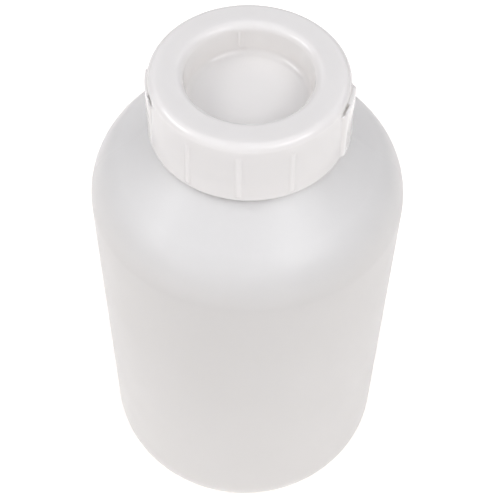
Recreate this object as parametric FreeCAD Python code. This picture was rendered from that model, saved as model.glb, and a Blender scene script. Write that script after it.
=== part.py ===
"""Two litre wide-mouth reagent bottle: blow-moulded body, inner sealing plug and screw cap.

Millimetres. +Z is up, and the origin is on the bottle's axis in the plane that the foot stands on.
The front of the bottle faces -Y. The three pieces are drawn closed: the plug sits in the mouth,
and the cap is screwed down over it. Turning the cap anticlockwise, seen from above, raises both
along a right-hand thread.
"""
import FreeCAD, Part
import math
import os

V = FreeCAD.Vector
UP = V(0, 0, 1)
ORIGIN = V(0, 0, 0)

# ---------------------------------------------------------------- driving dimensions
# Body: outside of the shell, from the foot to the lip of the neck.
BODY_RADIUS = 60.0
BODY_WALL = 1.8
BASE_CORNER_RADIUS = 18.7
FOOT_OUTER_RADIUS = BODY_RADIUS - BASE_CORNER_RADIUS
FOOT_INNER_RADIUS = FOOT_OUTER_RADIUS - 5.0
PUSH_UP_HEIGHT = 3.0
PUSH_UP_MIDWAY = 2.25              # the push-up's height halfway out to the foot ring
SIDE_TOP_Z = 159.1
SHOULDER_RADIUS = 24.0
CONE_RISE_DEG = 42.0               # slope of the cone between the shoulder and the neck
NECK_FILLET_RADIUS = 4.0
NECK_ROOT_RADIUS = 31.8
NECK_BORE_RADIUS = 29.6
LIP_Z = 217.7
LIP_EDGE = 0.5
PINCH_LINE = (44.0, 1.2, 0.8)      # length, width and height of the weld line under the base

# Thread shared by the neck and the cap, right-hand and single start.
THREAD_PITCH = 6.0
THREAD_TURNS = 2.0
NECK_THREAD_START_Z = 198.8
NECK_THREAD_CREST_RADIUS = 33.5
THREAD_LAG = 2.2                   # how far the cap's thread runs below the neck's, along the axis
CAP_THREAD_CREST_RADIUS = 32.2
THREAD_BASE_HALF = 1.35
THREAD_CREST_HALF = 0.65
THREAD_ROOTING = 0.5               # how far a thread is sunk into the wall that carries it

# Cap: rounded rim around a dish, and a skirt that widens a little towards its lower edge.
CAP_TOP_Z = 221.2
CAP_RIM_RADIUS = 35.6
CAP_RIM_ROUNDING = 3.0
CAP_INNER_ROUNDING = 2.2
CAP_WALL = 1.8
SKIRT_FOOT_RADIUS = 36.3
SKIRT_FOOT_Z = 194.9
SKIRT_EDGE = 0.7
CAP_BORE_TOP_RADIUS = 33.9
CAP_BORE_FOOT_RADIUS = 35.0
LAND_UNDERSIDE_Z = 219.2
DISH_MOUTH_RADIUS = 23.0
DISH_FLOOR_RADIUS = 22.3
DISH_DEPTH = 12.0
DISH_MOUTH_ROUNDING = 3.0
DISH_FLOOR_ROUNDING = 3.0
DISH_OUTER_RADIUS = 25.4
DISH_RIB_AZIMUTH = 100.0               # one low upright rib on the wall of the dish
DISH_RIB_WIDTH = 1.2
DISH_RIB_PROUD = 0.3
CAP_SNAP_BEAD = (26.9, 210.5, 0.8)     # crest radius, height and half width

# Outside of the cap: low grip ribs, and two ears with a slot behind each. The right ear is
# sprung a little further out than the left one.
FIRST_RIB_AZIMUTH = -95.0
RIB_SPACING_DEG = 30.0
RIB_WIDTH = 2.4
RIB_PROUD = 0.3
RIB_CLEARANCE_DEG = 22.0               # no rib stands nearer than this to the middle of an ear
RIB_FOOT_Z = 196.2
RIB_TOP_Z = 216.4
EAR_TOP_Z = 218.1
EAR_CORNER = 1.2
EAR_ROOT_RADIUS = 34.9
EAR_ROOT_DEPTH = 2.5                   # how far behind the root the flanks' drawing starts
EAR_FLANK_SLOPE = 0.9                  # how far a flank runs sideways for each millimetre inwards
EAR_SLOT_FLOOR_Z = 216.3
EAR_SLOT_RADIUS = 35.45                # the slot's inner side, just inside the skirt's face
EARS = (                               # azimuth, crest's half width and radius, slot's outer radius and span
    (-14.4, 6.2, 37.2, 36.4, (-9.2, -2.9)),
    (-173.5, 8.0, 36.4, 35.9, (4.6, 10.4)),
)

# Plug: a cup whose flange lies on the lip of the neck, around the underside of the cap's dish.
PLUG_FLANGE_RADIUS = 31.4
PLUG_FLANGE_TOP_Z = 219.15
PLUG_OUTER_RADIUS = 29.2
PLUG_INNER_RADIUS = 27.9
PLUG_BOTTOM_Z = 201.5
PLUG_FLOOR = 1.4
PLUG_CORNER = 2.0
SEAL_BEAD_RADIUS = 29.55
SEAL_BEAD_HEIGHTS = (209.3, 213.9)
SEAL_BEAD_HALF = 0.9
PLUG_SNAP_BEAD = (26.5, 213.1, 0.8)    # crest radius, height and half width


# ---------------------------------------------------------------- drawing helpers
def at(radius, height):
    """A point of a half section, in the XZ plane."""
    return V(radius, 0, height)


def line(start, end):
    return Part.LineSegment(at(*start), at(*end)).toShape()


def arc(centre, radius, start_deg, end_deg):
    """An arc of a half section; angles are measured from outward (+X) towards up (+Z)."""
    def point(angle_deg):
        angle = math.radians(angle_deg)
        return at(centre[0] + radius * math.cos(angle), centre[1] + radius * math.sin(angle))
    middle = (start_deg + end_deg) / 2
    return Part.Arc(point(start_deg), point(middle), point(end_deg)).toShape()


def arc_through(start, middle, end):
    return Part.Arc(at(*start), at(*middle), at(*end)).toShape()


def turned(edges):
    """The solid that a closed half section sweeps about the bottle's axis."""
    ordered = Part.sortEdges(edges)[0]
    return Part.Face(Part.Wire(ordered)).revolve(ORIGIN, UP, 360)


def polygon(points):
    """The closed outline of straight lines through a half section's points."""
    return [line(a, b) for a, b in zip(points, points[1:] + points[:1])]


def tube(inner_radius, outer_radius, low_z, high_z):
    return turned(polygon([(inner_radius, low_z), (outer_radius, low_z),
                           (outer_radius, high_z), (inner_radius, high_z)]))


def turned_about_axis(shape, azimuth_deg):
    """A copy of a shape drawn towards +X, turned about the bottle's axis."""
    copy = shape.copy()
    copy.rotate(ORIGIN, UP, azimuth_deg)
    return copy


def thread(wall_radius, crest_radius, start_z):
    """A trapezoidal thread standing on a wall; it points inwards where the crest is nearer the axis."""
    outward = 1 if crest_radius > wall_radius else -1
    root_radius = wall_radius - outward * THREAD_ROOTING
    helix = Part.makeHelix(THREAD_PITCH, THREAD_PITCH * THREAD_TURNS, wall_radius)
    section = Part.makePolygon([
        at(root_radius, -THREAD_BASE_HALF),
        at(crest_radius, -THREAD_CREST_HALF),
        at(crest_radius, THREAD_CREST_HALF),
        at(root_radius, THREAD_BASE_HALF),
        at(root_radius, -THREAD_BASE_HALF),
    ])
    swept = Part.Wire(helix.Edges).makePipeShell([section], True, True)
    swept.translate(V(0, 0, start_z))
    return swept


# ---------------------------------------------------------------- bottle body
def base_dome(shift):
    """The arc of the pushed-up base, from the axis to the foot ring, moved up by a shift."""
    return arc_through((0, PUSH_UP_HEIGHT + shift),
                       (FOOT_INNER_RADIUS / 2, PUSH_UP_MIDWAY + shift),
                       (FOOT_INNER_RADIUS, shift))


def shell_outline(inset, neck_radius):
    """Half section of the shell's outside (inset 0) or inside, from the axis up to the neck wall.

    Returns the edges and the height at which the neck wall starts.
    """
    side = BODY_RADIUS - inset
    rise = math.radians(CONE_RISE_DEG)
    shoulder_centre = (BODY_RADIUS - SHOULDER_RADIUS, SIDE_TOP_Z)
    cone_foot = (shoulder_centre[0] + (SHOULDER_RADIUS - inset) * math.sin(rise),
                 shoulder_centre[1] + (SHOULDER_RADIUS - inset) * math.cos(rise))

    fillet = NECK_FILLET_RADIUS + inset
    cone_end_radius = neck_radius + fillet * (1 - math.sin(rise))
    cone_end_z = cone_foot[1] + (cone_foot[0] - cone_end_radius) * math.tan(rise)
    neck_start_z = cone_end_z + fillet * math.cos(rise)

    edges = [
        base_dome(inset),
        line((FOOT_INNER_RADIUS, inset), (FOOT_OUTER_RADIUS, inset)),
        arc((FOOT_OUTER_RADIUS, BASE_CORNER_RADIUS), BASE_CORNER_RADIUS - inset, -90, 0),
        line((side, BASE_CORNER_RADIUS), (side, SIDE_TOP_Z)),
        arc(shoulder_centre, SHOULDER_RADIUS - inset, 0, 90 - CONE_RISE_DEG),
        line(cone_foot, (cone_end_radius, cone_end_z)),
        arc((neck_radius + fillet, neck_start_z), fillet, 270 - CONE_RISE_DEG, 180),
    ]
    return edges, neck_start_z


def make_bottle_body():
    outside, outer_neck_z = shell_outline(0.0, NECK_ROOT_RADIUS)
    inside, inner_neck_z = shell_outline(BODY_WALL, NECK_BORE_RADIUS)
    neck = [
        line((NECK_ROOT_RADIUS, outer_neck_z), (NECK_ROOT_RADIUS, LIP_Z - LIP_EDGE)),
        line((NECK_ROOT_RADIUS, LIP_Z - LIP_EDGE), (NECK_ROOT_RADIUS - LIP_EDGE, LIP_Z)),
        line((NECK_ROOT_RADIUS - LIP_EDGE, LIP_Z), (NECK_BORE_RADIUS, LIP_Z)),
        line((NECK_BORE_RADIUS, LIP_Z), (NECK_BORE_RADIUS, inner_neck_z)),
    ]
    axis = [line((0, PUSH_UP_HEIGHT + BODY_WALL), (0, PUSH_UP_HEIGHT))]
    shell = turned(outside + neck + inside + axis)
    neck_thread = thread(NECK_ROOT_RADIUS, NECK_THREAD_CREST_RADIUS, NECK_THREAD_START_Z)

    length, width, height = PINCH_LINE
    blade = Part.makeBox(length, width, 2 * BODY_WALL + PUSH_UP_HEIGHT,
                         V(-length / 2, -width / 2, -BODY_WALL))
    layer = turned([
        base_dome(-height),
        line((FOOT_INNER_RADIUS, -height), (FOOT_INNER_RADIUS, BODY_WALL / 2)),
        base_dome(BODY_WALL / 2),
        line((0, PUSH_UP_HEIGHT + BODY_WALL / 2), (0, PUSH_UP_HEIGHT - height)),
    ])
    weld = blade.common(layer)
    return shell.fuse([neck_thread, weld])


# ---------------------------------------------------------------- inner plug
def make_inner_plug():
    floor_top_z = PLUG_BOTTOM_Z + PLUG_FLOOR
    inner_corner = PLUG_CORNER - (PLUG_OUTER_RADIUS - PLUG_INNER_RADIUS)
    cup = turned([
        line((0, PLUG_BOTTOM_Z), (PLUG_OUTER_RADIUS - PLUG_CORNER, PLUG_BOTTOM_Z)),
        arc((PLUG_OUTER_RADIUS - PLUG_CORNER, PLUG_BOTTOM_Z + PLUG_CORNER), PLUG_CORNER, -90, 0),
        line((PLUG_OUTER_RADIUS, PLUG_BOTTOM_Z + PLUG_CORNER), (PLUG_OUTER_RADIUS, LIP_Z)),
        line((PLUG_OUTER_RADIUS, LIP_Z), (PLUG_FLANGE_RADIUS, LIP_Z)),
        line((PLUG_FLANGE_RADIUS, LIP_Z), (PLUG_FLANGE_RADIUS, PLUG_FLANGE_TOP_Z)),
        line((PLUG_FLANGE_RADIUS, PLUG_FLANGE_TOP_Z), (PLUG_INNER_RADIUS, PLUG_FLANGE_TOP_Z)),
        line((PLUG_INNER_RADIUS, PLUG_FLANGE_TOP_Z), (PLUG_INNER_RADIUS, floor_top_z + inner_corner)),
        arc((PLUG_INNER_RADIUS - inner_corner, floor_top_z + inner_corner), inner_corner, 0, -90),
        line((PLUG_INNER_RADIUS - inner_corner, floor_top_z), (0, floor_top_z)),
        line((0, floor_top_z), (0, PLUG_BOTTOM_Z)),
    ])
    seals = [bead(PLUG_OUTER_RADIUS, SEAL_BEAD_RADIUS, z, SEAL_BEAD_HALF) for z in SEAL_BEAD_HEIGHTS]
    crest_radius, height, half = PLUG_SNAP_BEAD
    return cup.fuse(seals + [bead(PLUG_INNER_RADIUS, crest_radius, height, half)])


def bead(wall_radius, crest_radius, height, half):
    """A rounded ring standing on a wall, rooted a little inside it."""
    inward = -1 if crest_radius > wall_radius else 1
    root = wall_radius + inward * THREAD_ROOTING
    return turned([
        line((root, height - half), (wall_radius, height - half)),
        arc_through((wall_radius, height - half), (crest_radius, height), (wall_radius, height + half)),
        line((wall_radius, height + half), (root, height + half)),
        line((root, height + half), (root, height - half)),
    ])


# ---------------------------------------------------------------- screw cap
def make_cap_shell():
    """The cap as a turned part: dish, rounded rim and skirt, before ribs, ears and thread."""
    floor_z = CAP_TOP_Z - DISH_DEPTH
    wall_lean = math.degrees(math.atan2(DISH_MOUTH_RADIUS - DISH_FLOOR_RADIUS, DISH_DEPTH))
    floor_arc = arc((DISH_FLOOR_RADIUS - DISH_FLOOR_ROUNDING, floor_z + DISH_FLOOR_ROUNDING),
                    DISH_FLOOR_ROUNDING, -90, -wall_lean)
    mouth_centre = (DISH_MOUTH_RADIUS + DISH_MOUTH_ROUNDING, CAP_TOP_Z - DISH_MOUTH_ROUNDING)
    mouth_arc = arc(mouth_centre, DISH_MOUTH_ROUNDING, 180 - wall_lean, 90)
    rim_centre = (CAP_RIM_RADIUS - CAP_RIM_ROUNDING, CAP_TOP_Z - CAP_RIM_ROUNDING)
    bore_corner = (CAP_BORE_TOP_RADIUS - CAP_INNER_ROUNDING, LAND_UNDERSIDE_Z - CAP_INNER_ROUNDING)
    underside_z = floor_z - CAP_WALL
    skirt_bead_z = SKIRT_FOOT_Z + SKIRT_EDGE

    def joined(first, last):
        """The straight line between the end of one arc and the start of the next."""
        return Part.LineSegment(first, last).toShape()

    return turned([
        line((0, floor_z), (DISH_FLOOR_RADIUS - DISH_FLOOR_ROUNDING, floor_z)),
        floor_arc,
        joined(floor_arc.Vertexes[-1].Point, mouth_arc.Vertexes[0].Point),
        mouth_arc,
        line((mouth_centre[0], CAP_TOP_Z), (rim_centre[0], CAP_TOP_Z)),
        arc(rim_centre, CAP_RIM_ROUNDING, 90, 0),
        line((CAP_RIM_RADIUS, rim_centre[1]), (SKIRT_FOOT_RADIUS, skirt_bead_z)),
        arc((SKIRT_FOOT_RADIUS - SKIRT_EDGE, skirt_bead_z), SKIRT_EDGE, 0, -90),
        line((SKIRT_FOOT_RADIUS - SKIRT_EDGE, SKIRT_FOOT_Z), (CAP_BORE_FOOT_RADIUS, SKIRT_FOOT_Z)),
        line((CAP_BORE_FOOT_RADIUS, SKIRT_FOOT_Z), (CAP_BORE_TOP_RADIUS, bore_corner[1])),
        arc(bore_corner, CAP_INNER_ROUNDING, 0, 90),
        line((bore_corner[0], LAND_UNDERSIDE_Z), (DISH_OUTER_RADIUS, LAND_UNDERSIDE_Z)),
        line((DISH_OUTER_RADIUS, LAND_UNDERSIDE_Z), (DISH_OUTER_RADIUS, underside_z + CAP_WALL)),
        arc((DISH_OUTER_RADIUS - CAP_WALL, underside_z + CAP_WALL), CAP_WALL, 0, -90),
        line((DISH_OUTER_RADIUS - CAP_WALL, underside_z), (0, underside_z)),
        line((0, underside_z), (0, floor_z)),
    ])


def make_grip_ribs():
    """Low upright ribs around the skirt, left out where an ear stands."""
    lean = (SKIRT_FOOT_RADIUS - CAP_RIM_RADIUS) / (CAP_TOP_Z - CAP_RIM_ROUNDING - SKIRT_FOOT_Z)
    top_radius = CAP_RIM_RADIUS + lean * (CAP_TOP_Z - CAP_RIM_ROUNDING - RIB_TOP_Z)
    band = turned(polygon([
        (EAR_ROOT_RADIUS, RIB_FOOT_Z),
        (SKIRT_FOOT_RADIUS + RIB_PROUD, RIB_FOOT_Z),
        (top_radius + RIB_PROUD, RIB_TOP_Z),
        (EAR_ROOT_RADIUS, RIB_TOP_Z),
    ]))
    blade = Part.makeBox(2 * CAP_RIM_RADIUS, RIB_WIDTH, RIB_TOP_Z, V(0, -RIB_WIDTH / 2, 0))
    ribs = []
    for index in range(round(360 / RIB_SPACING_DEG)):
        azimuth = FIRST_RIB_AZIMUTH + index * RIB_SPACING_DEG
        gaps = [abs((azimuth - ear[0] + 180) % 360 - 180) for ear in EARS]
        if min(gaps) > RIB_CLEARANCE_DEG:
            ribs.append(turned_about_axis(blade, azimuth).common(band))
    return ribs


def ear_outline(x, half):
    """An upright outline with rounded top corners, in a plane across the X axis."""
    corner_z = EAR_TOP_Z - EAR_CORNER
    flat = half - EAR_CORNER
    slant = EAR_CORNER * math.sin(math.radians(45))
    return Part.Wire([
        Part.LineSegment(V(x, -half, SKIRT_FOOT_Z), V(x, half, SKIRT_FOOT_Z)).toShape(),
        Part.LineSegment(V(x, half, SKIRT_FOOT_Z), V(x, half, corner_z)).toShape(),
        Part.Arc(V(x, half, corner_z), V(x, flat + slant, corner_z + slant),
                 V(x, flat, EAR_TOP_Z)).toShape(),
        Part.LineSegment(V(x, flat, EAR_TOP_Z), V(x, -flat, EAR_TOP_Z)).toShape(),
        Part.Arc(V(x, -flat, EAR_TOP_Z), V(x, -flat - slant, corner_z + slant),
                 V(x, -half, corner_z)).toShape(),
        Part.LineSegment(V(x, -half, corner_z), V(x, -half, SKIRT_FOOT_Z)).toShape(),
    ])


def make_ear(crest_half, crest_radius):
    """A raised tab with sloping flanks, drawn towards +X and rooted in the cap's wall."""
    crest_x = math.sqrt(crest_radius ** 2 - crest_half ** 2)
    root_x = EAR_ROOT_RADIUS - EAR_ROOT_DEPTH
    rough = Part.makeLoft([
        ear_outline(root_x, crest_half + EAR_FLANK_SLOPE * (crest_x - root_x)),
        ear_outline(crest_radius, crest_half - EAR_FLANK_SLOPE * (crest_radius - crest_x)),
    ], True, True)
    return rough.common(tube(EAR_ROOT_RADIUS, crest_radius, SKIRT_FOOT_Z, EAR_TOP_Z))


def make_ear_slot(outer_radius, span):
    """The space cut out behind an ear, open at the top, drawn towards +X."""
    start, end = span
    block = Part.makeBox(2 * outer_radius, end - start, CAP_TOP_Z, V(0, start, 0))
    return block.common(tube(EAR_SLOT_RADIUS, outer_radius, EAR_SLOT_FLOOR_Z, CAP_TOP_Z))


def make_dish_rib():
    """One low upright rib on the dish's wall."""
    low_z = CAP_TOP_Z - DISH_DEPTH + DISH_FLOOR_ROUNDING
    high_z = CAP_TOP_Z - DISH_MOUTH_ROUNDING
    root_radius = (DISH_MOUTH_RADIUS + DISH_OUTER_RADIUS) / 2
    band = turned(polygon([
        (DISH_FLOOR_RADIUS - DISH_RIB_PROUD, low_z),
        (root_radius, low_z),
        (root_radius, high_z),
        (DISH_MOUTH_RADIUS - DISH_RIB_PROUD, high_z),
    ]))
    blade = Part.makeBox(root_radius, DISH_RIB_WIDTH, CAP_TOP_Z, V(0, -DISH_RIB_WIDTH / 2, 0))
    return turned_about_axis(blade, DISH_RIB_AZIMUTH).common(band)


def make_screw_cap():
    cap = make_cap_shell().fuse(make_grip_ribs()).fuse(make_dish_rib())
    for azimuth, crest_half, crest_radius, slot_radius, slot_span in EARS:
        ear = turned_about_axis(make_ear(crest_half, crest_radius), azimuth)
        slot = turned_about_axis(make_ear_slot(slot_radius, slot_span), azimuth)
        cap = cap.fuse(ear).cut(slot)
    crest_radius, height, half = CAP_SNAP_BEAD
    cap = cap.fuse(bead(DISH_OUTER_RADIUS, crest_radius, height, half))
    wall_radius = (CAP_BORE_TOP_RADIUS + CAP_BORE_FOOT_RADIUS) / 2
    return cap.fuse(thread(wall_radius, CAP_THREAD_CREST_RADIUS, NECK_THREAD_START_Z - THREAD_LAG))


# ---------------------------------------------------------------- output
PIECES = {
    "bottle_body": make_bottle_body,
    "inner_plug": make_inner_plug,
    "screw_cap": make_screw_cap,
}

os.makedirs("parts", exist_ok=True)
for node, make in PIECES.items():
    shape = make().removeSplitter()
    shape.exportStep(f"parts/{node}.step")
    print(node, "solids", len(shape.Solids), "valid", shape.isValid(), "cm3", round(shape.Volume / 1000, 2))
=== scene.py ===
"""Looks of the wide-mouth reagent bottle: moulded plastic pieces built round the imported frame.

Lengths are in millimetres until a mesh is made, and azimuths in degrees, measured from +X towards +Y.
"""
import math

import bmesh
import bpy
import numpy as np
from mathutils import Matrix, Vector


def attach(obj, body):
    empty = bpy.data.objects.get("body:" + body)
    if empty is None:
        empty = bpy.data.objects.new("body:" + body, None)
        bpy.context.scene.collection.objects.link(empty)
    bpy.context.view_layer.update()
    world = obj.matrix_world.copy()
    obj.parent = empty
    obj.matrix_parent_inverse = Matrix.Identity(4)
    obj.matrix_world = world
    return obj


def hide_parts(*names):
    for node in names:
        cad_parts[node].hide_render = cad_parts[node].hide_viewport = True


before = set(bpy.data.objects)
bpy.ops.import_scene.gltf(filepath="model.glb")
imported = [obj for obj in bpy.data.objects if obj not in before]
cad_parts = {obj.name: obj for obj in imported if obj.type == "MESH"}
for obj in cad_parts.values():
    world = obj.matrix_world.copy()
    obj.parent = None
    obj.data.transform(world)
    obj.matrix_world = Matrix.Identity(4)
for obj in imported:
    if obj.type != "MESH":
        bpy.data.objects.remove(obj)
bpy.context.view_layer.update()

MM = 0.001

# ---------------------------------------------------------------- fineness of the meshes
SHARP_EDGE_DEG = 38
COLUMN_STEP_DEG = 2.0
PLUG_COLUMN_STEP_DEG = 2.5
TALL_ROW_SPACING = 4.0                 # on upright walls with nothing on them
FLAT_ROW_SPACING = 3.0
THREAD_ROW_SPACING = 0.25
SLIVER_WIDTH = 1e-7                    # metres

# ---------------------------------------------------------------- dimensions of the frame's pieces
# Body
BODY_RADIUS = 60.0
BODY_WALL = 1.8
BASE_CORNER_RADIUS = 18.7
FOOT_OUTER_RADIUS = BODY_RADIUS - BASE_CORNER_RADIUS
FOOT_INNER_RADIUS = FOOT_OUTER_RADIUS - 5.0
PUSH_UP_HEIGHT = 3.0
SIDE_TOP_Z = 159.1
SHOULDER_RADIUS = 24.0
CONE_RISE_DEG = 42.0
NECK_FILLET_RADIUS = 4.0
NECK_ROOT_RADIUS = 31.8
NECK_BORE_RADIUS = 29.6
LIP_Z = 217.7
LIP_ROUNDING = 0.5
SEAM_AZIMUTHS = (0.0, 180.0)
SEAM_HALF_WIDTH = 0.35
SEAM_HEIGHT = 0.05
WALL_WAVE_DEPTH = 0.12
WALL_WAVES = (                         # share, waves all round, phase, millimetres of height for a radian
    (0.50, 2, 0.4, 60),
    (0.30, 3, -1.1, -33),
    (0.20, 5, 2.0, 21),
)
WALL_WAVE_START = (4, 30)              # heights between which the waves grow, and between which they fade
WALL_WAVE_END = (163, 188)
WELD_HALF_LENGTH = 22.0
WELD_HALF_WIDTH = 0.6
WELD_HEIGHT = 0.8

# Thread, right-hand and single start
THREAD_PITCH = 6.0
THREAD_TURNS = 2.0
NECK_THREAD_START_Z = 198.8
NECK_THREAD_CREST_RADIUS = 33.5
THREAD_LAG = 2.2
CAP_THREAD_CREST_RADIUS = 32.2
THREAD_BASE_HALF = 1.2
THREAD_CREST_HALF = 0.65
THREAD_FADE_TURNS = 0.09

# Cap
CAP_TOP_Z = 221.2
CAP_RIM_RADIUS = 35.6
CAP_RIM_ROUNDING = 3.0
CAP_INNER_ROUNDING = 2.2
CAP_WALL = 1.8
SKIRT_FOOT_RADIUS = 36.3
SKIRT_FOOT_Z = 194.9
SKIRT_EDGE = 0.7
CAP_BORE_TOP_RADIUS = 33.9
CAP_BORE_FOOT_RADIUS = 35.0
LAND_UNDERSIDE_Z = 219.2
DISH_MOUTH_RADIUS = 23.0
DISH_FLOOR_RADIUS = 22.3
DISH_DEPTH = 12.0
DISH_MOUTH_ROUNDING = 3.0
DISH_FLOOR_ROUNDING = 3.0
DISH_OUTER_RADIUS = 25.4
DISH_RIB_AZIMUTH = 100.0
DISH_RIB_HALF_WIDTH = 0.6
DISH_RIB_PROUD = 0.3
CAP_SNAP_BEAD = (26.9, 210.5, 0.8)     # crest radius, height and half width
FIRST_RIB_AZIMUTH = -95.0
RIB_SPACING_DEG = 30.0
RIB_HALF_WIDTH = 1.2
RIB_PROUD = 0.3
RIB_CLEARANCE_DEG = 22.0
RIB_FOOT_Z = 196.2
RIB_TOP_Z = 216.4
RIB_FOOT_FADE = 0.8
RIB_TOP_FADE = 1.6
EAR_TOP_Z = 218.1
EAR_CORNER = 1.2
EAR_FLANK_SLOPE = 0.9
EAR_REACH_DEG = 30.0                   # past this, no flank stands out from the skirt
EAR_SLOT_FLOOR_Z = 216.3
EAR_SLOT_RADIUS = 35.45
EAR_SLOT_EDGE = 0.2
EARS = (                               # azimuth, crest's half width and radius, slot's outer radius and span
    (-14.4, 6.2, 37.2, 36.4, (-9.2, -2.9)),
    (-173.5, 8.0, 36.4, 35.9, (4.6, 10.4)),
)

# Plug
PLUG_FLANGE_RADIUS = 31.4
PLUG_FLANGE_TOP_Z = 219.15
PLUG_OUTER_RADIUS = 29.2
PLUG_INNER_RADIUS = 27.9
PLUG_BOTTOM_Z = 201.5
PLUG_FLOOR = 1.4
PLUG_CORNER = 2.0
PLUG_EDGE = 0.3
SEAL_BEAD_RADIUS = 29.55
SEAL_BEAD_HEIGHTS = (209.3, 213.9)
SEAL_BEAD_HALF = 0.9
PLUG_SNAP_BEAD = (26.5, 213.1, 0.8)    # crest radius, height and half width

# ---------------------------------------------------------------- camera, in metres and degrees
CAMERA_PLACE = Vector((0.0, -0.2942, 0.5122))
CAMERA_PITCH = 53.235
CAMERA_YAW = 0.28
CAMERA_ROLL = 1.2
SENSOR_WIDTH = 36.0
FOCAL_PER_FRAME_WIDTH = 2.3755

# ---------------------------------------------------------------- plastic skin, in metres
CLOUD_SCALE = 16.0
GLOSS_PATCH_SCALE = 60.0
GLOSS_SPREAD = 0.03
SLOW_WAVE = (40.0, 0.0004, 0.2)        # scale, depth and strength
GRAIN_STRENGTH = 0.25
PLASTIC_IOR = 1.5

# ---------------------------------------------------------------- floor and light, in metres and watts
FLOOR_HALF = 3.0
FLOOR_COLOUR = (0.90, 0.87, 0.84)
FLOOR_GLOW = 0.32                      # keeps the table under the bottle white
FLOOR_GLOW_REACH = (0.35, 0.9)         # distances from the axis between which the glow fades out
SKY_COLOUR = (0.985, 0.985, 1.035)
SKY_STRENGTH = (0.22, 1.03)            # away from the brightest direction, and towards it
SKY_BRIGHTEST = (0, -0.45, 0.89)
WINDOWS = (
    ("window_left", (-0.916, -0.080, 0.951)),
    ("window_right", (0.650, -0.545, 1.029)),
)
WINDOW_SIZE = (0.75, 0.4)
WINDOW_POWER = 4.15
WINDOW_TARGET = (0, 0, 0.18)


# ---------------------------------------------------------------- half sections
# A section runs so that the plastic is on its left: (dz, -dr) points out of the plastic.
def arc(centre, radius, start_deg, end_deg, steps=8):
    angles = np.radians(np.linspace(start_deg, end_deg, steps + 1))
    return np.stack([centre[0] + radius * np.cos(angles), centre[1] + radius * np.sin(angles)], 1)


def run(start, end, spacing):
    """Points of a straight run, no further apart than the spacing."""
    start, end = np.array(start, float), np.array(end, float)
    steps = max(1, math.ceil(np.linalg.norm(end - start) / spacing - 1e-6))
    return start + (end - start) * np.linspace(0, 1, steps + 1)[:, None]


def bump(wall_radius, crest_radius, height, half, direction, steps=8):
    """A rounded ring on an upright wall, passed going up (direction 1) or down (-1)."""
    z = np.linspace(-half, half, steps + 1) * direction
    rise = (crest_radius - wall_radius) * np.cos(z / half * math.pi / 2)
    return np.stack([wall_radius + rise, height + z], 1)


def smooth_step(value, start, end):
    t = np.clip((value - start) / (end - start), 0, 1)
    return t * t * (3 - 2 * t)


def thread_relief(height, start_z):
    """Relief of a thread with faded ends, for a stretch of neck or bore."""
    def relief(azimuth, z):
        turn = np.radians(azimuth) / (2 * math.pi) % 1
        turns_up = (z - start_z) / THREAD_PITCH
        whole = np.round(turns_up - turn)
        along = whole + turn
        off_centre = np.abs(turns_up - along) * THREAD_PITCH
        flank = np.clip((THREAD_BASE_HALF - off_centre) / (THREAD_BASE_HALF - THREAD_CREST_HALF), 0, 1)
        fade = (smooth_step(along, 0, THREAD_FADE_TURNS)
                * smooth_step(THREAD_TURNS - along, 0, THREAD_FADE_TURNS))
        return height * flank * np.where((along >= 0) & (along <= THREAD_TURNS), fade, 0)
    return relief


def azimuth_gap(azimuth, centre):
    """Signed angle from a centre azimuth, between -180 and 180 degrees."""
    return (azimuth - centre + 180) % 360 - 180


# ---------------------------------------------------------------- turned meshes
def beside(centres, offsets):
    return np.array([centre + offset for centre in centres for offset in offsets])


def columns(step_deg, fine):
    """Azimuths all round, evenly spaced, with closer ones beside each feature."""
    fine = np.asarray(fine) % 360
    even = np.arange(0, 360, step_deg)
    clear = [a for a in even if len(fine) == 0 or np.min(np.abs(azimuth_gap(fine, a))) > step_deg / 3]
    return np.unique(np.round(np.concatenate([clear, fine]), 4))


def turned_mesh(name, stretches, azimuths):
    """Turns a section from pole to pole about the axis.

    Each stretch is its points and a relief function of azimuth and height, or None. Relief
    stands out along the section's normal.
    """
    points, reliefs = [], []
    for stretch, relief in stretches:
        for point in stretch:
            if points and np.allclose(points[-1], point, atol=1e-4):
                reliefs[-1] = reliefs[-1] or relief
                continue
            points.append(point)
            reliefs.append(relief)
    points = np.array(points)
    tangent = np.gradient(points, axis=0)
    normal = np.stack([tangent[:, 1], -tangent[:, 0]], 1)
    normal /= np.linalg.norm(normal, axis=1)[:, None]

    inner = points[1:-1]
    azimuth = np.tile(azimuths, (len(inner), 1))
    height = np.tile(inner[:, 1:2], (1, len(azimuths)))
    offset = np.zeros_like(azimuth)
    for row, relief in enumerate(reliefs[1:-1]):
        if relief is not None:
            offset[row] = relief(azimuth[row], height[row])
    radius = inner[:, 0:1] + offset * normal[1:-1, 0:1]
    height = height + offset * normal[1:-1, 1:2]

    angle = np.radians(azimuth)
    grid = np.stack([radius * np.cos(angle), radius * np.sin(angle), height], -1).reshape(-1, 3)
    poles = np.array([[0, 0, points[0, 1]], [0, 0, points[-1, 1]]])
    rows, count = radius.shape
    index = np.arange(rows * count).reshape(rows, count)
    ahead = np.roll(index, -1, axis=1)
    quads = np.stack([index[:-1], ahead[:-1], ahead[1:], index[1:]], -1).reshape(-1, 4)
    first, last = rows * count, rows * count + 1
    faces = [tuple(q) for q in quads.tolist()]
    faces += [(first, b, a) for a, b in zip(index[0].tolist(), ahead[0].tolist())]
    faces += [(last, a, b) for a, b in zip(index[-1].tolist(), ahead[-1].tolist())]
    return mesh_object(name, np.concatenate([grid, poles]), faces)


def mesh_object(name, points_mm, faces):
    mesh = bpy.data.meshes.new(name)
    mesh.from_pydata((np.asarray(points_mm) * MM).tolist(), [], faces)
    mesh.validate()
    obj = bpy.data.objects.new(name, mesh)
    bpy.context.scene.collection.objects.link(obj)
    return obj


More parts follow.
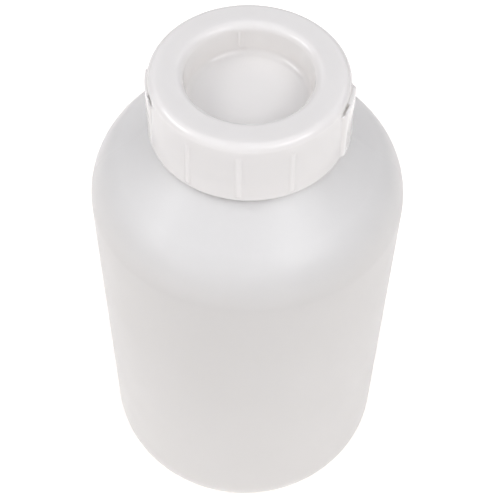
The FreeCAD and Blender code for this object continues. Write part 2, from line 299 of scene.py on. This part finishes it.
def finish_shading(obj):
    for polygon in obj.data.polygons:
        polygon.use_smooth = True
    obj.data.set_sharp_from_angle(angle=math.radians(SHARP_EDGE_DEG))


# ---------------------------------------------------------------- bottle body
def base_dome(shift):
    """The pushed-up base, from the axis to the foot ring, moved up by a shift."""
    radii = np.linspace(0, FOOT_INNER_RADIUS, 33)
    rise = PUSH_UP_HEIGHT * (1 - (radii / FOOT_INNER_RADIUS) ** 2)
    return np.stack([radii, rise + shift], 1)


def shell_side(inset, neck_radius):
    """Points from the foot ring up to the start of the neck wall."""
    side = BODY_RADIUS - inset
    rise = math.radians(CONE_RISE_DEG)
    shoulder_centre = (BODY_RADIUS - SHOULDER_RADIUS, SIDE_TOP_Z)
    cone_foot = (shoulder_centre[0] + (SHOULDER_RADIUS - inset) * math.sin(rise),
                 shoulder_centre[1] + (SHOULDER_RADIUS - inset) * math.cos(rise))
    fillet = NECK_FILLET_RADIUS + inset
    cone_end_radius = neck_radius + fillet * (1 - math.sin(rise))
    cone_end_z = cone_foot[1] + (cone_foot[0] - cone_end_radius) * math.tan(rise)
    fillet_centre = (neck_radius + fillet, cone_end_z + fillet * math.cos(rise))
    return np.concatenate([
        run((FOOT_INNER_RADIUS, inset), (FOOT_OUTER_RADIUS, inset), 1.0),
        arc((FOOT_OUTER_RADIUS, BASE_CORNER_RADIUS), BASE_CORNER_RADIUS - inset, -90, 0, 32),
        run((side, BASE_CORNER_RADIUS), (side, SIDE_TOP_Z), TALL_ROW_SPACING),
        arc(shoulder_centre, SHOULDER_RADIUS - inset, 0, 90 - CONE_RISE_DEG, 24),
        run(cone_foot, (cone_end_radius, cone_end_z), 2.0),
        arc(fillet_centre, fillet, 270 - CONE_RISE_DEG, 180, 10),
    ])


def wall_unevenness(azimuth, z):
    """The slow, slight unevenness of a blow-moulded wall, which fades out at neck and foot."""
    angle = np.radians(azimuth)
    wave = sum(share * np.sin(count * angle + phase + z / climb) for share, count, phase, climb in WALL_WAVES)
    fade_start, fade_end = WALL_WAVE_END
    amount = smooth_step(z, *WALL_WAVE_START) * smooth_step(fade_end - z, 0, fade_end - fade_start)
    return -WALL_WAVE_DEPTH * amount * (1 + wave) / 2


def side_relief(azimuth, z):
    """Parting line of the mould, over the wall's unevenness."""
    seam = np.zeros_like(azimuth)
    for centre in SEAM_AZIMUTHS:
        across = np.abs(azimuth_gap(azimuth, centre)) * math.radians(1) * BODY_RADIUS
        seam = np.maximum(seam, np.cos(np.clip(across / SEAM_HALF_WIDTH, 0, 1) * math.pi / 2))
    return wall_unevenness(azimuth, z) + SEAM_HEIGHT * seam * smooth_step(z, 0, 10)


def make_bottle_body():
    outside = shell_side(0.0, NECK_ROOT_RADIUS)
    inside = shell_side(BODY_WALL, NECK_BORE_RADIUS)
    neck_height = NECK_THREAD_CREST_RADIUS - NECK_ROOT_RADIUS
    lip_centres = [(NECK_ROOT_RADIUS - LIP_ROUNDING, LIP_Z - LIP_ROUNDING),
                   (NECK_BORE_RADIUS + LIP_ROUNDING, LIP_Z - LIP_ROUNDING)]
    lip = np.concatenate([arc(lip_centres[0], LIP_ROUNDING, 0, 90, 4),
                          arc(lip_centres[1], LIP_ROUNDING, 90, 180, 4)])
    stretches = [
        (base_dome(0.0), None),
        (outside, side_relief),
        (run(outside[-1], (NECK_ROOT_RADIUS, LIP_Z - LIP_ROUNDING), THREAD_ROW_SPACING),
         thread_relief(neck_height, NECK_THREAD_START_Z)),
        (lip, None),
        (run((NECK_BORE_RADIUS, LIP_Z - LIP_ROUNDING), inside[-1], TALL_ROW_SPACING), None),
        (inside[::-1], None),
        (base_dome(BODY_WALL)[::-1], None),
    ]
    seam_deg = math.degrees(SEAM_HALF_WIDTH / BODY_RADIUS)
    azimuths = columns(COLUMN_STEP_DEG, beside(SEAM_AZIMUTHS, np.linspace(-1, 1, 7) * seam_deg))
    body = turned_mesh("bottle_shell", stretches, azimuths)
    combine(body, make_weld_line(), "UNION")
    finish_shading(body)
    return body


def make_weld_line():
    """The pinched weld across the underside of the base, rooted in the wall."""
    loops = []
    for x in np.linspace(-WELD_HALF_LENGTH, WELD_HALF_LENGTH, 45):
        base_z = PUSH_UP_HEIGHT * (1 - (x / FOOT_INNER_RADIUS) ** 2)
        taper = math.sqrt(max(0.0, 1 - (x / WELD_HALF_LENGTH) ** 4)) * 0.9 + 0.1
        low_z = base_z - WELD_HEIGHT * taper
        root_z = base_z + BODY_WALL / 2
        half = WELD_HALF_WIDTH * taper
        angles = np.linspace(math.pi, 2 * math.pi, 9)
        y = np.cos(angles) * half
        z = low_z + WELD_HEIGHT * taper * 0.6 * (1 + np.sin(angles))
        ring = [(x, yy, zz) for yy, zz in zip(y, z)] + [(x, half, root_z), (x, -half, root_z)]
        loops.append(ring)
    return stacked_mesh("weld_line", loops)


def stacked_mesh(name, loops):
    """A closed mesh through a stack of equal loops, with flat ends."""
    count = len(loops[0])
    points = np.array(loops).reshape(-1, 3)
    faces = []
    for level in range(len(loops) - 1):
        low, high = level * count, (level + 1) * count
        for k in range(count):
            after = (k + 1) % count
            faces.append((low + k, low + after, high + after, high + k))
    faces.append(tuple(range(count))[::-1])
    faces.append(tuple(range((len(loops) - 1) * count, len(loops) * count)))
    obj = mesh_object(name, points, faces)
    solid = bmesh.new()
    solid.from_mesh(obj.data)
    bmesh.ops.recalc_face_normals(solid, faces=solid.faces)
    solid.to_mesh(obj.data)
    solid.free()
    return obj


def combine(target, other, operation):
    """Joins another solid to a target or cuts it away, and deletes the other one."""
    step = target.modifiers.new("combine", "BOOLEAN")
    step.operation = operation
    step.solver = "EXACT"
    step.object = other
    bpy.context.view_layer.update()
    graph = bpy.context.evaluated_depsgraph_get()
    result = bpy.data.meshes.new_from_object(target.evaluated_get(graph))
    remove_slivers(result)
    target.modifiers.clear()
    target.data = result
    bpy.data.objects.remove(other)


def remove_slivers(mesh):
    """Triangulates a cut mesh and takes out the folded pairs of faces that the cut can leave."""
    cut = bmesh.new()
    cut.from_mesh(mesh)
    bmesh.ops.triangulate(cut, faces=cut.faces)
    bmesh.ops.remove_doubles(cut, verts=cut.verts, dist=SLIVER_WIDTH)
    bmesh.ops.dissolve_degenerate(cut, dist=SLIVER_WIDTH, edges=cut.edges)
    alike = {}
    for face in cut.faces:
        alike.setdefault(frozenset(face.verts), []).append(face)
    folded = [face for pair in alike.values() if len(pair) == 2 for face in pair]
    bmesh.ops.delete(cut, geom=folded, context="FACES")
    cut.to_mesh(mesh)
    cut.free()


# ---------------------------------------------------------------- inner plug
def make_inner_plug():
    floor_top_z = PLUG_BOTTOM_Z + PLUG_FLOOR
    inner_corner = PLUG_CORNER - (PLUG_OUTER_RADIUS - PLUG_INNER_RADIUS)
    outer_wall = [(PLUG_OUTER_RADIUS, PLUG_BOTTOM_Z + PLUG_CORNER)]
    for z in SEAL_BEAD_HEIGHTS:
        outer_wall.extend(bump(PLUG_OUTER_RADIUS, SEAL_BEAD_RADIUS, z, SEAL_BEAD_HALF, 1))
    crest_radius, bead_z, bead_half = PLUG_SNAP_BEAD
    section = np.concatenate([
        run((0, PLUG_BOTTOM_Z), (PLUG_OUTER_RADIUS - PLUG_CORNER, PLUG_BOTTOM_Z), FLAT_ROW_SPACING),
        arc((PLUG_OUTER_RADIUS - PLUG_CORNER, PLUG_BOTTOM_Z + PLUG_CORNER), PLUG_CORNER, -90, 0),
        outer_wall,
        [(PLUG_OUTER_RADIUS, LIP_Z)],
        arc((PLUG_FLANGE_RADIUS - PLUG_EDGE, LIP_Z + PLUG_EDGE), PLUG_EDGE, -90, 0, 3),
        arc((PLUG_FLANGE_RADIUS - PLUG_EDGE, PLUG_FLANGE_TOP_Z - PLUG_EDGE), PLUG_EDGE, 0, 90, 3),
        arc((PLUG_INNER_RADIUS + PLUG_EDGE, PLUG_FLANGE_TOP_Z - PLUG_EDGE), PLUG_EDGE, 90, 180, 3),
        bump(PLUG_INNER_RADIUS, crest_radius, bead_z, bead_half, -1),
        arc((PLUG_INNER_RADIUS - inner_corner, floor_top_z + inner_corner), inner_corner, 0, -90, 5),
        run((PLUG_INNER_RADIUS - inner_corner, floor_top_z), (0, floor_top_z), FLAT_ROW_SPACING),
    ])
    plug = turned_mesh("sealing_plug", [(section, None)], columns(PLUG_COLUMN_STEP_DEG, ()))
    finish_shading(plug)
    return plug


# ---------------------------------------------------------------- screw cap
def rib_azimuths():
    evenly = FIRST_RIB_AZIMUTH + np.arange(0, 360, RIB_SPACING_DEG)
    return [a for a in evenly if min(abs(azimuth_gap(a, ear[0])) for ear in EARS) > RIB_CLEARANCE_DEG]


def rib_relief(azimuth, z):
    """Low upright grip ribs with soft edges and ends."""
    rise = np.zeros_like(azimuth)
    for centre in rib_azimuths():
        across = np.abs(azimuth_gap(azimuth, centre)) * math.radians(1) * SKIRT_FOOT_RADIUS
        rise = np.maximum(rise, 1 - smooth_step(across, RIB_HALF_WIDTH * 0.55, RIB_HALF_WIDTH))
    ends = (smooth_step(z, RIB_FOOT_Z, RIB_FOOT_Z + RIB_FOOT_FADE)
            * smooth_step(RIB_TOP_Z - z, 0, RIB_TOP_FADE))
    return RIB_PROUD * rise * ends


def ear_relief(azimuth, z):
    """Raised tabs on the skirt, with rounded top corners and flanks that slope to the wall."""
    foot_z, top_z = SKIRT_FOOT_Z + SKIRT_EDGE, CAP_TOP_Z - CAP_RIM_ROUNDING
    wall_radius = SKIRT_FOOT_RADIUS + (CAP_RIM_RADIUS - SKIRT_FOOT_RADIUS) * (z - foot_z) / (top_z - foot_z)
    above = np.clip(z - (EAR_TOP_Z - EAR_CORNER), 0, EAR_CORNER)
    inset = EAR_CORNER - np.sqrt(EAR_CORNER ** 2 - above ** 2)
    rise = np.zeros_like(azimuth)
    for centre, crest_half, crest_radius, _, _ in EARS:
        off = np.radians(np.minimum(np.abs(azimuth_gap(azimuth, centre)), EAR_REACH_DEG))
        crest_x = math.sqrt(crest_radius ** 2 - crest_half ** 2)
        flank = ((crest_x + (crest_half - inset) / EAR_FLANK_SLOPE)
                 / (np.cos(off) + np.sin(off) / EAR_FLANK_SLOPE))
        rise = np.maximum(rise, np.minimum(crest_radius, flank) - wall_radius)
    return rise


def skirt_relief(azimuth, z):
    return np.maximum(rib_relief(azimuth, z), ear_relief(azimuth, z))


def dish_relief(azimuth, z):
    """One low upright rib on the dish's wall."""
    across = np.abs(azimuth_gap(azimuth, DISH_RIB_AZIMUTH)) * math.radians(1) * DISH_MOUTH_RADIUS
    return DISH_RIB_PROUD * (1 - smooth_step(across, DISH_RIB_HALF_WIDTH * 0.5, DISH_RIB_HALF_WIDTH))


def make_ear_slot(azimuth, outer_radius, span):
    """The space cut out behind an ear, open at the top."""
    levels = (EAR_SLOT_FLOOR_Z, CAP_TOP_Z + 1)
    return stacked_mesh("slot", [curved_bar(EAR_SLOT_RADIUS, outer_radius, *span, z, azimuth)
                                 for z in levels])


def curved_bar(inner, outer, start, end, z, azimuth):
    """One level of a bar that bends round the axis: its outline with rounded corners."""
    corner = EAR_SLOT_EDGE
    outline = []
    for x, y, turn in ((outer, end, 0), (inner, end, 90), (inner, start, 180), (outer, start, 270)):
        inward_x = -corner if x == outer else corner
        inward_y = -corner if y == end else corner
        outline.extend(arc((x + inward_x, y + inward_y), corner, turn, turn + 90, 3))
        if turn in (90, 270):
            between = np.linspace(end - corner, start + corner, 17)[1:-1]
            outline.extend((x, side) for side in (between if turn == 90 else between[::-1]))
    turn_to = math.radians(azimuth)
    return [(radius * math.cos(turn_to + side / outer), radius * math.sin(turn_to + side / outer), z)
            for radius, side in outline]


def make_screw_cap():
    floor_z = CAP_TOP_Z - DISH_DEPTH
    underside_z = floor_z - CAP_WALL
    lean = math.degrees(math.atan2(DISH_MOUTH_RADIUS - DISH_FLOOR_RADIUS, DISH_DEPTH))
    rim = (CAP_RIM_RADIUS - CAP_RIM_ROUNDING, CAP_TOP_Z - CAP_RIM_ROUNDING)
    mouth = (DISH_MOUTH_RADIUS + DISH_MOUTH_ROUNDING, CAP_TOP_Z - DISH_MOUTH_ROUNDING)
    bore_corner = (CAP_BORE_TOP_RADIUS - CAP_INNER_ROUNDING, LAND_UNDERSIDE_Z - CAP_INNER_ROUNDING)
    skirt_foot = (SKIRT_FOOT_RADIUS, SKIRT_FOOT_Z + SKIRT_EDGE)
    skirt_edge = (SKIRT_FOOT_RADIUS - SKIRT_EDGE, SKIRT_FOOT_Z)
    ear_share = (EAR_TOP_Z - skirt_foot[1]) / (rim[1] - skirt_foot[1])
    ear_top = (SKIRT_FOOT_RADIUS + (CAP_RIM_RADIUS - SKIRT_FOOT_RADIUS) * ear_share, EAR_TOP_Z)
    dish_wall_foot = (DISH_FLOOR_RADIUS, floor_z + DISH_FLOOR_ROUNDING)
    dish_wall_top = (DISH_MOUTH_RADIUS, mouth[1])
    crest_radius, bead_z, bead_half = CAP_SNAP_BEAD
    bore = run((CAP_BORE_TOP_RADIUS, bore_corner[1]), (CAP_BORE_FOOT_RADIUS, SKIRT_FOOT_Z),
               THREAD_ROW_SPACING)
    thread_height = (CAP_BORE_TOP_RADIUS + CAP_BORE_FOOT_RADIUS) / 2 - CAP_THREAD_CREST_RADIUS
    stretches = [
        (run((0, underside_z), (DISH_OUTER_RADIUS - CAP_WALL, underside_z), FLAT_ROW_SPACING), None),
        (arc((DISH_OUTER_RADIUS - CAP_WALL, floor_z), CAP_WALL, -90, 0), None),
        (bump(DISH_OUTER_RADIUS, crest_radius, bead_z, bead_half, 1), None),
        ([(DISH_OUTER_RADIUS, LAND_UNDERSIDE_Z)], None),
        (arc(bore_corner, CAP_INNER_ROUNDING, 90, 0, 6), None),
        (bore, thread_relief(thread_height, NECK_THREAD_START_Z - THREAD_LAG)),
        (run((CAP_BORE_FOOT_RADIUS, SKIRT_FOOT_Z), skirt_edge, 0.6), None),
        (arc((skirt_edge[0], skirt_foot[1]), SKIRT_EDGE, -90, 0, 5), None),
        (run(skirt_foot, ear_top, 0.4), skirt_relief),
        (arc(rim, CAP_RIM_ROUNDING, 0, 90, 20), None),
        (run((rim[0], CAP_TOP_Z), (mouth[0], CAP_TOP_Z), 0.8), None),
        (arc(mouth, DISH_MOUTH_ROUNDING, 90, 180 - lean, 12), None),
        (run(dish_wall_top, dish_wall_foot, 0.6)[1:-1], dish_relief),
        (arc((DISH_FLOOR_RADIUS - DISH_FLOOR_ROUNDING, floor_z + DISH_FLOOR_ROUNDING),
             DISH_FLOOR_ROUNDING, -lean, -90, 12), None),
        (run((DISH_FLOOR_RADIUS - DISH_FLOOR_ROUNDING, floor_z), (0, floor_z), 2.5), None),
    ]
    rib_deg = math.degrees(RIB_HALF_WIDTH / SKIRT_FOOT_RADIUS)
    dish_rib_deg = math.degrees(DISH_RIB_HALF_WIDTH / DISH_MOUTH_RADIUS)
    across_rib = np.linspace(-1.1, 1.1, 9)
    fine = np.concatenate([beside(rib_azimuths(), across_rib * rib_deg),
                           beside([ear[0] for ear in EARS], np.linspace(-15, 15, 41)),
                           beside([DISH_RIB_AZIMUTH], across_rib * dish_rib_deg)])
    azimuths = columns(COLUMN_STEP_DEG, fine)
    cap = turned_mesh("threaded_cap", stretches, azimuths)
    for azimuth, _, _, slot_radius, slot_span in EARS:
        combine(cap, make_ear_slot(azimuth, slot_radius, slot_span), "DIFFERENCE")
    finish_shading(cap)
    return cap


# ---------------------------------------------------------------- plastic materials
def node(tree, kind, **properties):
    made = tree.nodes.new(kind)
    for key, value in properties.items():
        setattr(made, key, value)
    return made


def noise(tree, coordinates, scale, detail):
    made = node(tree, "ShaderNodeTexNoise")
    made.inputs["Scale"].default_value = scale
    made.inputs["Detail"].default_value = detail
    tree.links.new(coordinates, made.inputs["Vector"])
    return made.outputs["Fac"]


def spread(tree, value, low, high, start=0.3, end=0.7):
    """Maps a value onto a range; noise keeps mostly between the start and end given here."""
    made = node(tree, "ShaderNodeMapRange")
    made.inputs["From Min"].default_value = start
    made.inputs["From Max"].default_value = end
    made.inputs["To Min"].default_value = low
    made.inputs["To Max"].default_value = high
    tree.links.new(value, made.inputs["Value"])
    return made.outputs["Result"]


def tint(tree, factor, first, second):
    made = node(tree, "ShaderNodeMix", data_type="RGBA")
    tree.links.new(factor, made.inputs["Factor"])
    made.inputs["A"].default_value = (*first, 1)
    made.inputs["B"].default_value = (*second, 1)
    return made.outputs["Result"]


def scaled(tree, colour, amount):
    made = node(tree, "ShaderNodeVectorMath", operation="SCALE")
    tree.links.new(colour, made.inputs["Vector"])
    tree.links.new(amount, made.inputs["Scale"])
    return made.outputs["Vector"]


def bumped(tree, height, distance, strength, below=None):
    made = node(tree, "ShaderNodeBump")
    made.inputs["Distance"].default_value = distance
    made.inputs["Strength"].default_value = strength
    tree.links.new(height, made.inputs["Height"])
    if below is not None:
        tree.links.new(below, made.inputs["Normal"])
    return made.outputs["Normal"]


def plastic(name, clear_tint, cloudy_tint, roughness, glow_radius, grain_scale, grain_depth, painted_side_shade=None):
    """Milky plastic: light scatters under the skin, with a faint cloudiness and a moulded grain.

    The last argument paints shade: it darkens the tint below the shoulder, so the upright side reads darker
    than the shoulder as if less light fell on it. It gives the heights where that is complete and where it
    starts, in metres, and what is left of the tint.
    """
    material = bpy.data.materials.new(name)
    material.use_nodes = True
    tree = material.node_tree
    shader = tree.nodes["Principled BSDF"]
    place = node(tree, "ShaderNodeTexCoord").outputs["Object"]
    cloud = spread(tree, noise(tree, place, CLOUD_SCALE, 1.0), 0, 1)
    milk = tint(tree, cloud, clear_tint, cloudy_tint)
    # Painted shade: the tint is darkened below the shoulder, standing in for less light on the upright side.
    if painted_side_shade is not None:
        low_z, high_z, remainder = painted_side_shade
        height = node(tree, "ShaderNodeSeparateXYZ")
        tree.links.new(place, height.inputs["Vector"])
        milk = scaled(tree, milk, spread(tree, height.outputs["Z"], remainder, 1.0, low_z, high_z))
    tree.links.new(milk, shader.inputs["Base Color"])
    patches = noise(tree, place, GLOSS_PATCH_SCALE, 1.0)
    tree.links.new(spread(tree, patches, roughness - GLOSS_SPREAD, roughness + GLOSS_SPREAD),
                   shader.inputs["Roughness"])
    grain = noise(tree, place, grain_scale, 2.0)
    wave_scale, wave_depth, wave_strength = SLOW_WAVE
    waved = bumped(tree, noise(tree, place, wave_scale, 0.0), wave_depth, wave_strength)
    tree.links.new(bumped(tree, grain, grain_depth, GRAIN_STRENGTH, waved), shader.inputs["Normal"])
    shader.inputs["Subsurface Weight"].default_value = 1.0
    shader.inputs["Subsurface Radius"].default_value = (1.0, 1.0, 1.0)
    shader.inputs["Subsurface Scale"].default_value = glow_radius
    shader.inputs["IOR"].default_value = PLASTIC_IOR
    return material


def dress(piece, material, body, cad_node):
    piece.data.materials.clear()
    piece.data.materials.append(material)
    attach(piece, body)
    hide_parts(cad_node)


# ---------------------------------------------------------------- stage
def make_camera():
    """A level camera turned by yaw, then pitched down, then rolled about its own axis."""
    pitch, yaw, roll = (math.radians(a) for a in (CAMERA_PITCH, CAMERA_YAW, CAMERA_ROLL))
    forward = Vector((math.sin(yaw) * math.cos(pitch), math.cos(yaw) * math.cos(pitch), -math.sin(pitch)))
    right = forward.cross(Vector((0, 0, 1))).normalized()
    up = right.cross(forward)
    rolled_right = math.cos(roll) * right + math.sin(roll) * up
    rolled_up = math.cos(roll) * up - math.sin(roll) * right
    turn = Matrix((rolled_right, rolled_up, -forward)).transposed()
    data = bpy.data.cameras.new("camera")
    data.sensor_width = SENSOR_WIDTH
    data.lens = SENSOR_WIDTH * FOCAL_PER_FRAME_WIDTH
    camera = bpy.data.objects.new("camera", data)
    camera.matrix_world = Matrix.Translation(CAMERA_PLACE) @ turn.to_4x4()
    bpy.context.scene.collection.objects.link(camera)
    bpy.context.scene.camera = camera


def make_floor():
    mesh = bpy.data.meshes.new("floor")
    h = FLOOR_HALF
    mesh.from_pydata([(-h, -h, 0), (h, -h, 0), (h, h, 0), (-h, h, 0)], [], [(0, 1, 2, 3)])
    floor = bpy.data.objects.new("floor", mesh)
    bpy.context.scene.collection.objects.link(floor)
    material = bpy.data.materials.new("white_table")
    material.use_nodes = True
    tree = material.node_tree
    shader = tree.nodes["Principled BSDF"]
    shader.inputs["Base Color"].default_value = (*FLOOR_COLOUR, 1)
    shader.inputs["Roughness"].default_value = 0.9
    shader.inputs["Specular IOR Level"].default_value = 0.1
    shader.inputs["Emission Color"].default_value = (1, 1, 1, 1)
    distance = node(tree, "ShaderNodeVectorMath", operation="LENGTH")
    tree.links.new(node(tree, "ShaderNodeTexCoord").outputs["Object"], distance.inputs[0])
    tree.links.new(spread(tree, distance.outputs["Value"], FLOOR_GLOW, 0.0, *FLOOR_GLOW_REACH),
                   shader.inputs["Emission Strength"])
    floor.data.materials.append(material)


def make_window(name, place):
    """A soft wide panel of light that faces the bottle's shoulder."""
    data = bpy.data.lights.new(name, "AREA")
    data.shape = "RECTANGLE"
    data.size, data.size_y = WINDOW_SIZE
    data.energy = WINDOW_POWER
    lamp = bpy.data.objects.new(name, data)
    aim = Vector(WINDOW_TARGET) - Vector(place)
    lamp.matrix_world = Matrix.Translation(place) @ aim.to_track_quat("-Z", "Y").to_matrix().to_4x4()
    bpy.context.scene.collection.objects.link(lamp)


def make_sky():
    """A plain surround that brightens smoothly towards one direction."""
    world = bpy.data.worlds.new("studio")
    bpy.context.scene.world = world
    world.use_nodes = True
    tree = world.node_tree
    direction = node(tree, "ShaderNodeTexCoord").outputs["Generated"]
    along = node(tree, "ShaderNodeVectorMath", operation="DOT_PRODUCT")
    along.inputs[1].default_value = Vector(SKY_BRIGHTEST).normalized()
    tree.links.new(direction, along.inputs[0])
    background = tree.nodes["Background"]
    background.inputs["Color"].default_value = (*SKY_COLOUR, 1)
    strength = spread(tree, along.outputs["Value"], *SKY_STRENGTH, 0.0, 1.0)
    tree.links.new(strength, background.inputs["Strength"])


def make_stage():
    make_floor()
    make_sky()
    for name, place in WINDOWS:
        make_window(name, place)
    bpy.context.scene.view_settings.view_transform = "Standard"


# ---------------------------------------------------------------- scene
make_camera()
make_stage()
dress(make_bottle_body(),
      plastic("polyethylene", clear_tint=(0.877, 0.855, 0.824), cloudy_tint=(0.852, 0.830, 0.799),
              roughness=0.32, glow_radius=0.006, grain_scale=1600.0, grain_depth=0.00004,
              # Painted shade below the shoulder: the tint falls to 0.76 of itself beneath 0.162 m.
              painted_side_shade=(0.162, 0.180, 0.76)),
      "bottle", "bottle_body")
dress(make_inner_plug(),
      plastic("soft_polyethylene", clear_tint=(0.82, 0.82, 0.81), cloudy_tint=(0.79, 0.79, 0.78),
              roughness=0.40, glow_radius=0.006, grain_scale=1600.0, grain_depth=0.00003),
      "plug", "inner_plug")
dress(make_screw_cap(),
      plastic("polypropylene", clear_tint=(0.812, 0.790, 0.768), cloudy_tint=(0.787, 0.765, 0.743),
              roughness=0.12, glow_radius=0.004, grain_scale=2200.0, grain_depth=0.00002),
      "cap", "screw_cap")
